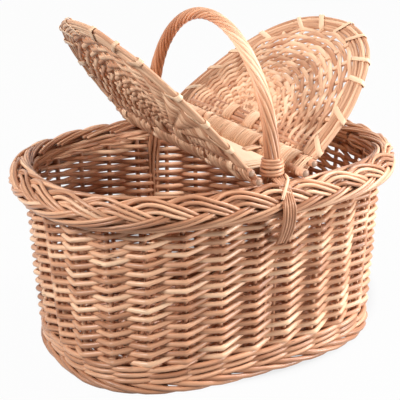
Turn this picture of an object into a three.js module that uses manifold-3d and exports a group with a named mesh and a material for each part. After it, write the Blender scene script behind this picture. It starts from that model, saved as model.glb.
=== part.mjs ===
// A lidded willow picnic basket: an oval body with a thick border, a roped handle across its middle,
// and two lids that turn on sticks tied to the bar between the feet of the handle.
// Millimetres, +Z up. The origin is on the floor under the middle, +X runs along the basket and
// the front is towards -Y.
import * as THREE from "three";
import { mergeVertices } from "three/addons/utils/BufferGeometryUtils.js";
import Module from "manifold-3d";

// Oval body
const bodyHeight = 222;
const wallTopHalfLength = 206;
const wallTopHalfWidth = 145;
const wallTopSquareness = 2.45;
const endFlare = 16;
const sideFlare = 8;
const baseSquareness = 2.8;
const wallThickness = 7;
const stakeCount = 28;
const stakeDiameter = 6;

// Rows of weaving, from the floor up
const footHeight = 12;
const footWidth = 12;
const footRound = 3;
const panelThickness = 7;
const panelLift = 2;
const upsettHeight = 22;
const topWaleHeight = 9;
const borderHeight = 41;
const borderWidth = 30;

// Relief of the weaving: strokes in front of each stake, and strands plaited round the border
const strokesPerStake = 14;
const strokeDepth = 5;
const strandDepth = 3.2;
const stakesOver = 4;
const stakesUnder = 2;

// Handle
const handleRise = 138;
const handleSpringLift = 9;
const handleFootInset = 1;
const handleTopDiameter = 13;
const handleFootDiameter = 17;
const legDiameter = 10;
const bindingRodDiameter = 3.5;
const bindingTurns = 5;
const bindingTurnGap = 0.6;
const tailWidth = 20;
const tailThickness = 4.5;
const tailDrop = 30;

// Cross bar between the feet of the handle
const barCoreWidth = 37;
const barCoreThickness = 7;
const wrapThickness = 2;
const wrapStrip = 5;
const wrapTurns = 3;
const wrapTurnGap = 1.2;
const wrapEndGap = 2;

// Lids
const leftLidOpen = 50;
const rightLidOpen = 40;
const lidEndInset = 2;
const lidSideInset = 13;
const lidSquareness = 2.25;
const lidRimWidth = 25;
const lidRimThickness = 7;
const lidStripReach = 42;
const lidStripThickness = 8;
const lidHubReach = 31.6;
const lidHubOffset = 9;
const lidRibAngle = 15;
const lidRows = 20;
const lidFirstRow = 14;
const lidRowThickness = 3.6;
const lidRowSwing = 2.4;
const hingeStickDiameter = 9;
const edgeStickDiameter = 8;
const stickOverhang = 3;
const sleeveWall = 1.5;
const loopWidth = 10;
const loopThickness = 2;
const loopSpacing = 120;

// Gaps
const seat = 0.3;
const wrapGap = 0.4;
const loopSideGap = 1;
const lidRestGap = 0.5;
const legBorderGap = 2;

// Steps that round the curves
const ovalSteps = 2 * stakeCount;
const borderSteps = 16;
const strandSteps = 3;
const archSteps = 28;
const bowSides = 10;
const stickSides = 12;
const turnSteps = 24;
const turnSides = 6;
const wrapEndSteps = 6;
const tailSteps = 10;
const lidSteps = 32;

const wasm = await Module();
wasm.setup();

const buff = new THREE.MeshStandardMaterial({ color: 0xb9824c, roughness: 0.6, metalness: 0 });
const dark = new THREE.MeshStandardMaterial({ color: 0x9a653a, roughness: 0.65, metalness: 0 });
const roped = new THREE.MeshStandardMaterial({ color: 0xc08a54, roughness: 0.5, metalness: 0 });
const pale = new THREE.MeshStandardMaterial({ color: 0xd8ac76, roughness: 0.6, metalness: 0 });
const skein = new THREE.MeshStandardMaterial({ color: 0xe0bb88, roughness: 0.55, metalness: 0 });

const basket = new THREE.Group();

function addMesh(parent, name, geometry, material) {
  const mesh = new THREE.Mesh(geometry, material);
  mesh.name = name;
  parent.add(mesh);
  return mesh;
}

// Solids and joins

function solidOf(geometry) {
  const plain = geometry.clone();
  plain.deleteAttribute("normal");
  plain.deleteAttribute("uv");
  const merged = mergeVertices(plain, 1e-4);
  return new wasm.Manifold(
    new wasm.Mesh({
      numProp: 3,
      vertProperties: new Float32Array(merged.attributes.position.array),
      triVerts: new Uint32Array(merged.index.array),
    }),
  );
}

function geometryOf(solid) {
  const { vertProperties, triVerts } = solid.getMesh();
  const geometry = new THREE.BufferGeometry();
  geometry.setAttribute("position", new THREE.BufferAttribute(vertProperties, 3));
  geometry.setIndex(new THREE.BufferAttribute(triVerts, 1));
  geometry.computeVertexNormals();
  return geometry;
}

function meshGeometry(points, triangles) {
  const geometry = new THREE.BufferGeometry();
  const flat = points.flatMap((point) => point.toArray());
  geometry.setAttribute("position", new THREE.Float32BufferAttribute(flat, 3));
  geometry.setIndex(triangles);
  geometry.computeVertexNormals();
  return geometry;
}

// A closed tube through rings of equal length, each ordered by the right hand about its travel.
function tubeThrough(rings) {
  const sides = rings[0].length;
  const last = (rings.length - 1) * sides;
  const triangles = [];
  for (let r = 0; r + 1 < rings.length; r += 1) {
    for (let k = 0; k < sides; k += 1) {
      const next = (k + 1) % sides;
      const [a, b] = [r * sides + k, r * sides + next];
      const [c, d] = [b + sides, a + sides];
      triangles.push(a, b, c, a, c, d);
    }
  }
  for (let k = 1; k + 1 < sides; k += 1) {
    triangles.push(0, k + 1, k, last, last + k, last + k + 1);
  }
  return meshGeometry(rings.flat(), triangles);
}

// A section set square to the path at one point, with its first axis near the given direction.
function sectionRing(centre, travel, direction, outline) {
  const t = travel.clone().normalize();
  const u = direction.clone().addScaledVector(t, -direction.dot(t)).normalize();
  const v = new THREE.Vector3().crossVectors(t, u);
  return outline.map(([a, b]) => centre.clone().addScaledVector(u, a).addScaledVector(v, b));
}

function travelAt(path, index) {
  const before = path[Math.max(index - 1, 0)];
  const after = path[Math.min(index + 1, path.length - 1)];
  return after.clone().sub(before);
}

function roundOutline(diameter, sides) {
  return Array.from({ length: sides }, (_, k) => {
    const turn = (2 * Math.PI * (k + 0.5)) / sides;
    return [(diameter / 2) * Math.cos(turn), (diameter / 2) * Math.sin(turn)];
  });
}

function flatOutline(thickness, width) {
  const [h, w] = [thickness / 2, width / 2];
  return [
    [h, -w],
    [h, w],
    [-h, w],
    [-h, -w],
  ];
}

// Least distance between the surface points of one turn of a winding and those of the next.
function leastTurnGap(rings, stepsPerTurn) {
  let least = Infinity;
  for (let i = 0; i < rings.length; i += 1) {
    const first = i + Math.round(0.6 * stepsPerTurn);
    const end = Math.min(rings.length, i + Math.round(1.5 * stepsPerTurn));
    for (let j = first; j < end; j += 1) {
      for (const p of rings[i]) {
        for (const q of rings[j]) least = Math.min(least, p.distanceTo(q));
      }
    }
  }
  return least;
}

function printTurnGap(name, rings, stepsPerTurn) {
  console.log(`${name}: least gap between turns ${leastTurnGap(rings, stepsPerTurn).toFixed(2)} mm`);
}

// Ovals

// Evenly spaced points round the oval |x/a|^n + |y/b|^n = 1, anticlockwise from its +X end, or from a
// shift past it that is counted in spaces.
function ovalPoints({ halfLength, halfWidth, squareness }, count, shift = 0) {
  const fineSteps = 2400;
  const power = 2 / squareness;
  const fine = Array.from({ length: fineSteps + 1 }, (_, i) => {
    const turn = (2 * Math.PI * i) / fineSteps;
    const [c, s] = [Math.cos(turn), Math.sin(turn)];
    const x = halfLength * Math.sign(c) * Math.abs(c) ** power;
    const y = halfWidth * Math.sign(s) * Math.abs(s) ** power;
    return new THREE.Vector2(x, y);
  });
  const runs = [0];
  for (let i = 1; i <= fineSteps; i += 1) runs.push(runs[i - 1] + fine[i].distanceTo(fine[i - 1]));
  return Array.from({ length: count }, (_, k) => {
    const target = runs[fineSteps] * THREE.MathUtils.euclideanModulo((k + shift) / count, 1);
    const i = runs.findIndex((run) => run > target) - 1;
    const share = (target - runs[i]) / (runs[i + 1] - runs[i]);
    return fine[i].clone().lerp(fine[i + 1], share);
  });
}

function widened({ halfLength, halfWidth, squareness }, by) {
  return { halfLength: halfLength + by, halfWidth: halfWidth + by, squareness };
}

// A closed ring round the basket: the profile is a loop of ovals at heights, up on the outside.
function ringGeometry(profile) {
  return reliefRing(
    profile.map((place) => ({ places: [place], shift: 0 })),
    ovalSteps,
    0,
  );
}

// A ring whose rows each take their points in turn from several ovals, and may be shifted along them.
// A ring that twists meets its first row again at a lead. Shifts and leads are counted in steps.
function reliefRing(rows, steps, lead) {
  const loops = rows.map(({ places, shift }) => {
    const tracks = places.map(({ oval, z }) =>
      ovalPoints(oval, steps, shift).map((p) => new THREE.Vector3(p.x, p.y, z)),
    );
    return tracks[0].map((_, i) => tracks[i % tracks.length][i]);
  });
  const triangles = [];
  rows.forEach((row, j) => {
    const closes = j + 1 === rows.length;
    const above = closes ? 0 : j + 1;
    const skip = closes ? lead + steps : 0;
    const leansOn = rows[above].shift + (closes ? lead : 0) > row.shift;
    for (let i = 0; i < steps; i += 1) {
      const next = (i + 1) % steps;
      const [a, b] = [j * steps + i, j * steps + next];
      const [c, d] = [next, i].map((column) => above * steps + ((column + skip) % steps));
      // Each quad is split along its shorter diagonal.
      if (leansOn) triangles.push(a, b, d, b, c, d);
      else triangles.push(a, b, c, a, c, d);
    }
  });
  return meshGeometry(loops.flat(), triangles);
}

// Body: the wall widens evenly from the floor to the underside of the border.
const wallTop = bodyHeight - borderHeight;
const wallTopOval = {
  halfLength: wallTopHalfLength,
  halfWidth: wallTopHalfWidth,
  squareness: wallTopSquareness,
};
const footOval = {
  halfLength: wallTopHalfLength - endFlare,
  halfWidth: wallTopHalfWidth - sideFlare,
  squareness: baseSquareness,
};

function wallOval(z) {
  const share = z / wallTop;
  return {
    halfLength: THREE.MathUtils.lerp(footOval.halfLength, wallTopOval.halfLength, share),
    halfWidth: THREE.MathUtils.lerp(footOval.halfWidth, wallTopOval.halfWidth, share),
    squareness: THREE.MathUtils.lerp(footOval.squareness, wallTopOval.squareness, share),
  };
}

function wallRing(bottom, top) {
  return ringGeometry([
    { oval: wallOval(bottom), z: bottom },
    { oval: wallOval(top), z: top },
    { oval: widened(wallOval(top), -wallThickness), z: top },
    { oval: widened(wallOval(bottom), -wallThickness), z: bottom },
  ]);
}

// The wall with the relief of its weaving: at every second row, a stroke passes in front of each stake
// and falls back midway to the next. Steps of the oval fall on stakes and midway.
function strokeRing(bottom, top) {
  const lastRow = 2 * strokesPerStake;
  const rows = Array.from({ length: lastRow + 1 }, (_, row) => {
    const z = THREE.MathUtils.lerp(bottom, top, row / lastRow);
    const front = { oval: wallOval(z), z };
    const back = { oval: widened(wallOval(z), -strokeDepth), z };
    return { places: [back, row % 2 ? front : back], shift: 0 };
  });
  for (const z of [top, bottom]) {
    rows.push({ places: [{ oval: widened(wallOval(z), -wallThickness), z }], shift: 0 });
  }
  return reliefRing(rows, ovalSteps, 0);
}

const footTop = wallOval(footHeight);
addMesh(
  basket,
  "foot_border",
  ringGeometry([
    { oval: widened(footOval, -footRound), z: 0 },
    { oval: footOval, z: footRound },
    { oval: footTop, z: footHeight },
    { oval: widened(footTop, -footWidth), z: footHeight },
    { oval: widened(footOval, -footWidth), z: 0 },
  ]),
  buff,
);

const panelOval = widened(footOval, -footWidth - seat);
const panelShape = new THREE.Shape(ovalPoints(panelOval, ovalSteps));
const basePanel = addMesh(
  basket,
  "base_panel",
  new THREE.ExtrudeGeometry(panelShape, { depth: panelThickness, bevelEnabled: false }),
  dark,
);
basePanel.position.z = panelLift;

const upsettBottom = footHeight + seat;
const weaveBottom = upsettBottom + upsettHeight + seat;
const topWaleTop = wallTop - seat;
const topWaleBottom = topWaleTop - topWaleHeight;
addMesh(basket, "upsett_wale", wallRing(upsettBottom, weaveBottom - seat), buff);
addMesh(basket, "side_weave", strokeRing(weaveBottom, topWaleBottom - seat), buff);
addMesh(basket, "top_wale", wallRing(topWaleBottom, topWaleTop), buff);

// Stakes stand on the foot against the inside of the wall, evenly round the oval. The first is half a
// space from the +X end, so that the handle's feet and the ends of the oval fall between stakes.
const stakeInset = wallThickness + seat + stakeDiameter / 2;

function stakePoints(z) {
  const halfSpaces = ovalPoints(widened(wallOval(z), -stakeInset), 2 * stakeCount);
  return halfSpaces.filter((_, index) => index % 2 === 1);
}

const stakeFeet = stakePoints(upsettBottom);
const stakeHeads = stakePoints(topWaleTop);
stakeFeet.forEach((foot, index) => {
  const low = new THREE.Vector3(foot.x, foot.y, upsettBottom + stakeDiameter / 10);
  const high = new THREE.Vector3(stakeHeads[index].x, stakeHeads[index].y, topWaleTop);
  const along = high.clone().sub(low);
  const name = `stake_${String(index + 1).padStart(2, "0")}`;
  const radius = stakeDiameter / 2;
  const stake = addMesh(basket, name, new THREE.CylinderGeometry(radius, radius, along.length(), 8), dark);
  stake.position.copy(low).lerp(high, 0.5);
  stake.quaternion.setFromUnitVectors(new THREE.Vector3(0, 1, 0), along.normalize());
});

// Rim border: a rounded ring centred over the outer face of the wall, with a strand from each stake.
// A strand leans over from the inside to the middle of the outer face, and back under from there.
const borderMiddle = wallTop + borderHeight / 2;

function borderPlace(turn, depth) {
  return {
    oval: widened(wallTopOval, (borderWidth / 2 - depth) * Math.cos(turn)),
    z: borderMiddle + (borderHeight / 2 - depth) * Math.sin(turn),
  };
}

const borderRows = Array.from({ length: borderSteps }, (_, k) => {
  const turn = (2 * Math.PI * k) / borderSteps - Math.PI / 2;
  const stakesPast = turn < 0 ? (stakesUnder * turn) / (Math.PI / 2) : (-stakesOver * turn) / (1.5 * Math.PI);
  const [crest, groove] = [borderPlace(turn, 0), borderPlace(turn, strandDepth)];
  return { places: [crest, crest, groove], shift: stakesPast * strandSteps };
});
const borderLead = (stakesUnder - stakesOver) * strandSteps;
addMesh(basket, "rim_border", reliefRing(borderRows, stakeCount * strandSteps, borderLead), buff);

// Handle: an arch across the basket, whose core steps inside the border and runs down to the foot.
const borderInnerHalfWidth = wallTopHalfWidth - borderWidth / 2;
const handleHalfSpan = borderInnerHalfWidth + handleFootInset;
const springHeight = bodyHeight + handleSpringLift;
const legTopHalfSpan = borderInnerHalfWidth - legBorderGap - legDiameter / 2;
const legFootHalfSpan = wallOval(upsettBottom).halfWidth - wallThickness - seat - legDiameter / 2;

function archPoint(turn) {
  const y = handleHalfSpan * Math.cos(turn);
  return new THREE.Vector3(0, y, springHeight + handleRise * Math.sin(turn));
}

function bowPath() {
  const leg = (side) => [
    { point: new THREE.Vector3(0, side * legFootHalfSpan, upsettBottom), diameter: legDiameter },
    { point: new THREE.Vector3(0, side * legTopHalfSpan, borderMiddle), diameter: legDiameter },
  ];
  const arch = Array.from({ length: archSteps + 1 }, (_, k) => {
    const turn = (Math.PI * k) / archSteps;
    const diameter = THREE.MathUtils.lerp(handleFootDiameter, handleTopDiameter, Math.sin(turn));
    return { point: archPoint(turn), diameter };
  });
  return [...leg(1), ...arch, ...leg(-1).reverse()];
}

const acrossX = new THREE.Vector3(1, 0, 0);
const bow = bowPath();
const bowPoints = bow.map(({ point }) => point);
const bowRings = bow.map(({ point, diameter }, index) =>
  sectionRing(point, travelAt(bowPoints, index), acrossX, roundOutline(diameter, bowSides)),
);
addMesh(basket, "handle_bow", tubeThrough(bowRings), roped);

// Handle bindings: turns of rod up each foot of the arch, above the tail that crosses the border.
const bindingRadius = handleFootDiameter / 2 + wrapGap + bindingRodDiameter / 2;
const bindingPitch = bindingRodDiameter + bindingTurnGap;
const bindingBottom = bodyHeight + seat + tailThickness + seat + bindingRodDiameter / 2;

function archHalfSpanAt(z) {
  const rise = Math.max(z - springHeight, 0) / handleRise;
  return handleHalfSpan * Math.sqrt(1 - rise * rise);
}

function bindingRings() {
  const steps = bindingTurns * turnSteps;
  const path = [];
  const outward = [];
  for (let k = 0; k <= steps; k += 1) {
    const turn = (2 * Math.PI * k) / turnSteps;
    const z = bindingBottom + (bindingPitch * k) / turnSteps;
    const radial = new THREE.Vector3(Math.cos(turn), Math.sin(turn), 0);
    const centre = new THREE.Vector3(0, -archHalfSpanAt(z), z);
    path.push(centre.addScaledVector(radial, bindingRadius));
    outward.push(radial);
  }
  // Each end runs straight on for one diameter of the rod.
  const start = travelAt(path, 0).normalize().multiplyScalar(-bindingRodDiameter).add(path[0]);
  const finish = travelAt(path, steps).normalize().multiplyScalar(bindingRodDiameter).add(path[steps]);
  path.unshift(start);
  path.push(finish);
  outward.unshift(outward[0]);
  outward.push(outward[steps]);
  const outline = roundOutline(bindingRodDiameter, turnSides);
  return path.map((point, k) => sectionRing(point, travelAt(path, k), outward[k], outline));
}

const binding = bindingRings();
printTurnGap("handle binding", binding, turnSteps);

// Handle tails: the flat bundle that leaves the foot, rounds the border and lies down the wall.
function tailOutline() {
  const overBorder = (gap) =>
    Array.from({ length: tailSteps + 1 }, (_, k) => {
      const turn = THREE.MathUtils.degToRad(THREE.MathUtils.lerp(105, -60, k / tailSteps));
      const y = wallTopHalfWidth + (borderWidth / 2 + gap) * Math.cos(turn);
      return new THREE.Vector2(y, borderMiddle + (borderHeight / 2 + gap) * Math.sin(turn));
    });
  const onWall = (z, gap) => new THREE.Vector2(wallOval(z).halfWidth + gap, z);
  const wallStart = topWaleBottom;
  const wallEnd = wallTop - tailDrop;
  const inside = [...overBorder(wrapGap), onWall(wallStart, wrapGap), onWall(wallEnd, wrapGap)];
  const gap = wrapGap + tailThickness;
  const outside = [...overBorder(gap), onWall(wallStart, gap), onWall(wallEnd, gap)];
  return [...inside, ...outside.reverse()];
}

const tailGeometry = new THREE.ExtrudeGeometry(new THREE.Shape(tailOutline()), {
  depth: tailWidth,
  bevelEnabled: false,
});
tailGeometry.translate(0, 0, -tailWidth / 2);

function addHandleEnd(name, turn) {
  const end = new THREE.Group();
  end.rotation.z = turn;
  basket.add(end);
  addMesh(end, `handle_binding_${name}`, tubeThrough(binding), roped);
  const tail = addMesh(end, `handle_tail_${name}`, tailGeometry.clone(), roped);
  // The outline's first axis points out to -Y, its second up, and its depth lies along X.
  const outwards = new THREE.Vector3(0, -1, 0);
  const up = new THREE.Vector3(0, 0, 1);
  const across = new THREE.Vector3().crossVectors(outwards, up);
  tail.quaternion.setFromRotationMatrix(new THREE.Matrix4().makeBasis(outwards, up, across));
}

addHandleEnd("front", 0);
addHandleEnd("back", Math.PI);

// Cross bar: a flat slat between the two bindings, wrapped with skein at each end.
const hingeHeight = bodyHeight + lidRestGap + hingeStickDiameter / 2;
const barHalfLength = handleHalfSpan - bindingRadius - bindingRodDiameter / 2 - seat;

// A flat oval section: two straight sides joined by half circles, as points round it.
function flatOval(width, thickness, endSteps) {
  const radius = thickness / 2;
  const reach = width / 2 - radius;
  return [1, -1].flatMap((side) =>
    Array.from({ length: endSteps }, (_, k) => {
      const turn = (Math.PI * k) / (endSteps - 1) - Math.PI / 2 + (side > 0 ? 0 : Math.PI);
      return new THREE.Vector2(side * reach + radius * Math.cos(turn), radius * Math.sin(turn));
    }),
  );
}

const barShape = new THREE.Shape(flatOval(barCoreWidth, barCoreThickness, wrapEndSteps));
const barGeometry = new THREE.ExtrudeGeometry(barShape, { depth: 2 * barHalfLength, bevelEnabled: false });
barGeometry.translate(0, 0, -barHalfLength);
const bar = addMesh(basket, "cross_bar", barGeometry, dark);
bar.position.z = hingeHeight;
bar.rotation.x = Math.PI / 2;

const wrapLoopWidth = barCoreWidth + 2 * wrapGap + wrapThickness;
const wrapLoopThickness = barCoreThickness + 2 * wrapGap + wrapThickness;
const wrapPitch = wrapStrip + wrapTurnGap;
const wrapStart = barHalfLength - wrapEndGap - wrapStrip / 2;

// The strip moves along the bar in step with its run round the section.
function wrapRings() {
  const loop = flatOval(wrapLoopWidth, wrapLoopThickness, wrapEndSteps);
  const runs = [0];
  loop.forEach((place, k) => runs.push(runs[k] + place.distanceTo(loop[(k + 1) % loop.length])));
  const perimeter = runs[loop.length];
  const reach = wrapLoopWidth / 2 - wrapLoopThickness / 2;
  const path = [];
  const outward = [];
  for (let k = 0; k <= wrapTurns * loop.length; k += 1) {
    const step = k % loop.length;
    const turns = Math.floor(k / loop.length) + runs[step] / perimeter;
    const place = loop[step];
    const endCentre = THREE.MathUtils.clamp(place.x, -reach, reach);
    path.push(new THREE.Vector3(place.x, wrapPitch * turns - wrapStart, place.y));
    outward.push(new THREE.Vector3(place.x - endCentre, 0, place.y).normalize());
  }
  const outline = flatOutline(wrapThickness, wrapStrip);
  return path.map((point, k) => sectionRing(point, travelAt(path, k), outward[k], outline));
}

const wrap = wrapRings();
printTurnGap("cross bar wrap", wrap, 2 * wrapEndSteps);

function addBarWrap(name, turn) {
  const wrapMesh = addMesh(basket, `cross_bar_wrap_${name}`, tubeThrough(wrap), skein);
  wrapMesh.position.z = hingeHeight;
  wrapMesh.rotation.z = turn;
}

addBarWrap("front", 0);
addBarWrap("back", Math.PI);

// Lids: the hinge stick turns in two loops tied to the edge of the bar.
const loopInnerRadius = hingeStickDiameter / 2 + seat;
const loopOuterRadius = loopInnerRadius + loopThickness;
const barOuterHalfWidth = wrapLoopWidth / 2 + wrapThickness / 2;
const hingeReach = barOuterHalfWidth + seat + loopOuterRadius;
const edgeStickReach = loopOuterRadius + loopSideGap + sleeveWall + seat + edgeStickDiameter / 2;
const lidLength = wallTopHalfLength + borderWidth / 2 - lidEndInset - hingeReach;
const lidHalfWidth = wallTopHalfWidth + borderWidth / 2 - lidSideInset;
const stickHalfLength = lidHalfWidth + stickOverhang;
const lidRimStart = edgeStickReach + edgeStickDiameter / 2 + seat;

// Half an oval that starts at a distance from the hinge line, from its -Y end round to +Y.
// All such curves turn at the same steps, so that neighbours keep their gap.
function lidCurve(inset, startX) {
  const [length, halfWidth] = [lidLength - inset, lidHalfWidth - inset];
  const power = 2 / lidSquareness;
  const startTurn = Math.asin((startX / length) ** (1 / power));
  const steps = Array.from({ length: lidSteps - 1 }, (_, k) => (Math.PI * (k + 1)) / lidSteps);
  const inner = steps.filter((turn) => turn > startTurn && turn < Math.PI - startTurn);
  return [startTurn, ...inner, Math.PI - startTurn].map((turn) => {
    const c = Math.cos(turn);
    const y = -halfWidth * Math.sign(c) * Math.abs(c) ** power;
    return new THREE.Vector2(length * Math.sin(turn) ** power, y);
  });
}

function slab(outline, thickness) {
  const settings = { depth: thickness, bevelEnabled: false };
  const geometry = new THREE.ExtrudeGeometry(new THREE.Shape(outline), settings);
  return geometry.translate(0, 0, -thickness / 2);
}

function stickGeometry(diameter, halfLength, x) {
  const stick = new THREE.CylinderGeometry(diameter / 2, diameter / 2, 2 * halfLength, stickSides);
  return stick.translate(x, 0, 0);
}

// A closed sheet of even thickness through a grid of points, listed by column and then outwards.
function sheetGeometry(columns, thickness) {
  const rows = columns[0].length;
  const half = new THREE.Vector3(0, 0, thickness / 2);
  const top = columns.flat().map((point) => point.clone().add(half));
  const bottom = columns.flat().map((point) => point.clone().sub(half));
  const triangles = [];
  const addQuad = (a, b, c, d) => triangles.push(a, b, c, a, c, d);
  const under = (place) => place + top.length;
  for (let i = 0; i + 1 < columns.length; i += 1) {
    for (let j = 0; j + 1 < rows; j += 1) {
      const [a, b] = [i * rows + j, i * rows + j + 1];
      const [c, d] = [b + rows, a + rows];
      addQuad(a, b, c, d);
      addQuad(under(d), under(c), under(b), under(a));
      if (i === 0) addQuad(under(a), under(b), b, a);
      if (i + 2 === columns.length) addQuad(under(c), under(d), d, c);
      if (j === 0) addQuad(under(d), under(a), a, d);
      if (j + 2 === rows) addQuad(under(b), under(c), c, b);
    }
  }
  return meshGeometry([...top, ...bottom], triangles);
}

// Distance from the weaving's hub to the inside of the rim, in one direction.
function hubToRim(turn) {
  const isInside = (reach) => {
    const x = (lidHubReach + reach * Math.cos(turn)) / (lidLength - lidRimWidth);
    const y = (lidHubOffset + reach * Math.sin(turn)) / (lidHalfWidth - lidRimWidth);
    return Math.abs(x) ** lidSquareness + Math.abs(y) ** lidSquareness < 1;
  };
  let [near, far] = [0, lidLength + lidHalfWidth];
  for (let k = 0; k < 30; k += 1) {
    const middle = (near + far) / 2;
    if (isInside(middle)) near = middle;
    else far = middle;
  }
  return near;
}

// Lid weaving: rows go round a hub beside the hinge, each over one rib of a fan and under the next. One
// more row at each end runs on under the strip beside the hinge, and past the rim's edge to be trimmed.
function lidSheetGeometry() {
  const ribs = 180 / lidRibAngle;
  const columns = Array.from({ length: ribs + 1 }, (_, rib) => {
    const turn = THREE.MathUtils.degToRad(lidRibAngle * (rib - ribs / 2));
    const reach = hubToRim(turn);
    return Array.from({ length: lidRows + 2 }, (_, k) => {
      const row = k - 1;
      const radius = THREE.MathUtils.lerp(lidFirstRow, reach, row / (lidRows - 1));
      const z = (rib + k) % 2 ? lidRowSwing : -lidRowSwing;
      const [x, y] = [radius * Math.cos(turn), radius * Math.sin(turn)];
      return new THREE.Vector3(lidHubReach + x, lidHubOffset + y, z);
    });
  });
  return sheetGeometry(columns, lidRowThickness);
}

// The woven panel closes round both sticks, and leaves the hinge stick bare at the loops.
function lidPanelGeometry() {
  const inset = lidRimWidth + seat;
  const sleeveEnd = edgeStickReach + edgeStickDiameter / 2 + seat + sleeveWall;
  const sleeveHalfLength = lidCurve(inset, sleeveEnd).at(-1).y;
  const sleeve = (diameter, x) =>
    solidOf(stickGeometry(diameter + 2 * (seat + sleeveWall), sleeveHalfLength, x));
  const bore = (diameter, x) => solidOf(stickGeometry(diameter + 2 * seat, stickHalfLength, x));
  const notchReach = loopOuterRadius + loopSideGap;
  const outline = lidCurve(inset, 0);
  const beyond = lidCurve(inset, lidStripReach);
  const beside = (side) => outline.filter(({ x, y }) => x < lidStripReach && side * y > 0);
  const strip = [...beside(-1), beyond[0], beyond.at(-1), ...beside(1)];
  let panel = solidOf(lidSheetGeometry())
    .intersect(solidOf(slab(outline, 2 * lidRowThickness + 2 * lidRowSwing)))
    .add(solidOf(slab(strip, lidStripThickness)))
    .add(sleeve(hingeStickDiameter, 0))
    .add(sleeve(edgeStickDiameter, edgeStickReach))
    .subtract(bore(hingeStickDiameter, 0))
    .subtract(bore(edgeStickDiameter, edgeStickReach));
  for (const side of [-1, 1]) {
    const notch = new THREE.BoxGeometry(2 * notchReach, loopWidth + 2 * loopSideGap, 4 * notchReach);
    notch.translate(0, (side * loopSpacing) / 2, 0);
    panel = panel.subtract(solidOf(notch));
  }
  return geometryOf(panel);
}

function loopGeometry() {
  const [inner, outer, half] = [loopInnerRadius, loopOuterRadius, loopWidth / 2];
  const profile = [
    [inner, -half],
    [outer, -half],
    [outer, half],
    [inner, half],
    [inner, -half],
  ];
  return new THREE.LatheGeometry(
    profile.map(([x, y]) => new THREE.Vector2(x, y)),
    turnSteps,
  );
}

function addLid(name, turn, openAngle) {
  const side = new THREE.Group();
  side.rotation.z = turn;
  basket.add(side);
  const hinge = new THREE.Group();
  hinge.position.set(hingeReach, 0, hingeHeight);
  hinge.rotation.y = -THREE.MathUtils.degToRad(openAngle);
  side.add(hinge);
  addMesh(hinge, `lid_${name}_hinge_stick`, stickGeometry(hingeStickDiameter, stickHalfLength, 0), dark);
  const edgeStick = stickGeometry(edgeStickDiameter, stickHalfLength, edgeStickReach);
  addMesh(hinge, `lid_${name}_edge_stick`, edgeStick, dark);
  const rim = [...lidCurve(0, lidRimStart), ...lidCurve(lidRimWidth, lidRimStart).reverse()];
  addMesh(hinge, `lid_${name}_rim`, slab(rim, lidRimThickness), pale);
  addMesh(hinge, `lid_${name}_weave`, lidPanelGeometry(), pale);
  for (const [end, sign] of [
    ["front", -1],
    ["back", 1],
  ]) {
    const loop = addMesh(side, `lid_${name}_loop_${end}`, loopGeometry(), skein);
    // A lid turned half round has its front at the other end of its own Y axis.
    loop.position.set(hingeReach, sign * Math.cos(turn) * (loopSpacing / 2), hingeHeight);
  }
}

addLid("right", 0, rightLidOpen);
addLid("left", Math.PI, leftLidOpen);

export default basket;
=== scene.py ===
import math

import bpy
import numpy as np
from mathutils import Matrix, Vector


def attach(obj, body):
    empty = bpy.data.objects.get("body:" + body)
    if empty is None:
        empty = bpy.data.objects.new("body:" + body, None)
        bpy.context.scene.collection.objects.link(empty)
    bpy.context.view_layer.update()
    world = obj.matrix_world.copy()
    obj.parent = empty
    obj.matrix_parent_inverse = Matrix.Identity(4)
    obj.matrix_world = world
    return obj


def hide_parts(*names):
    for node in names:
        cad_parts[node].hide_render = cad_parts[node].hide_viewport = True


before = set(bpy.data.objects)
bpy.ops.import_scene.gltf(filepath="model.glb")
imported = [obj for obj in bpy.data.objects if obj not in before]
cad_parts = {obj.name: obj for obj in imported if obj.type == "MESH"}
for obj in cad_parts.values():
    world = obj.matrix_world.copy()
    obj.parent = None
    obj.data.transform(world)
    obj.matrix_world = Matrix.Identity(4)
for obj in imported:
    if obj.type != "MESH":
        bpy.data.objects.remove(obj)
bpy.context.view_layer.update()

# Main sizes, in millimetres and degrees. An oval is its half length, its half width and its squareness
MM = 0.001
STAKE_COUNT = 28
FIRST_STAKE = 0.5
WALL_TOP = 181.0
BASE_OVAL = (190.0, 137.0, 2.8)
TOP_OVAL = (206.0, 145.0, 2.45)
FOOT_WIDTH = 12.0
UPSETT_BOTTOM = 12.3
WEAVE_BOTTOM = 34.6
WEAVE_TOP = 171.4
BORDER_HEIGHT = 41.0
BORDER_MIDDLE = WALL_TOP + BORDER_HEIGHT / 2

HANDLE_HALF_SPAN = 131.0
HANDLE_SPRING = 231.0
HANDLE_RISE = 138.0
HANDLE_TOP_RADIUS = 6.5
HANDLE_FOOT_RADIUS = 8.5
BINDING_BOTTOM = 226.0
BINDING_RADIUS = 10.5
TAIL_WIDTH = 16.5

BAR_HALF_LENGTH = 118.3
BAR_HALF_WIDTH = 20.9
BAR_HALF_THICKNESS = 5.9

HINGE_REACH = 28.0
HINGE_HEIGHT = 227.0
LID_LENGTH = 191.0
LID_HALF_WIDTH = 147.0
LID_SQUARENESS = 2.25
LID_RIM_WIDTH = 20.0
LID_RIM_START = 17.9
HINGE_STICK_RADIUS = 4.5
EDGE_STICK_RADIUS = 4.0
EDGE_STICK_REACH = 13.6
STICK_HALF_LENGTH = 150.0
LOOP_SPACING = 120.0
LID_OPEN = {"left": 50.0, "right": 40.0}

SIDEWAYS = (1, 0, 0)
UP = (0, 0, 1)
ENDS = ((-1, "front"), (1, "back"))

rng = np.random.default_rng(11)


# Vectors and paths
WANDER_STEP = 8


def unit(vectors):
    return vectors / np.linalg.norm(vectors, axis=-1, keepdims=True)


def spots(x, y, z):
    """Points from their coordinates, of which some may be single numbers."""
    return np.stack(np.broadcast_arrays(x, y, z), axis=1)


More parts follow.
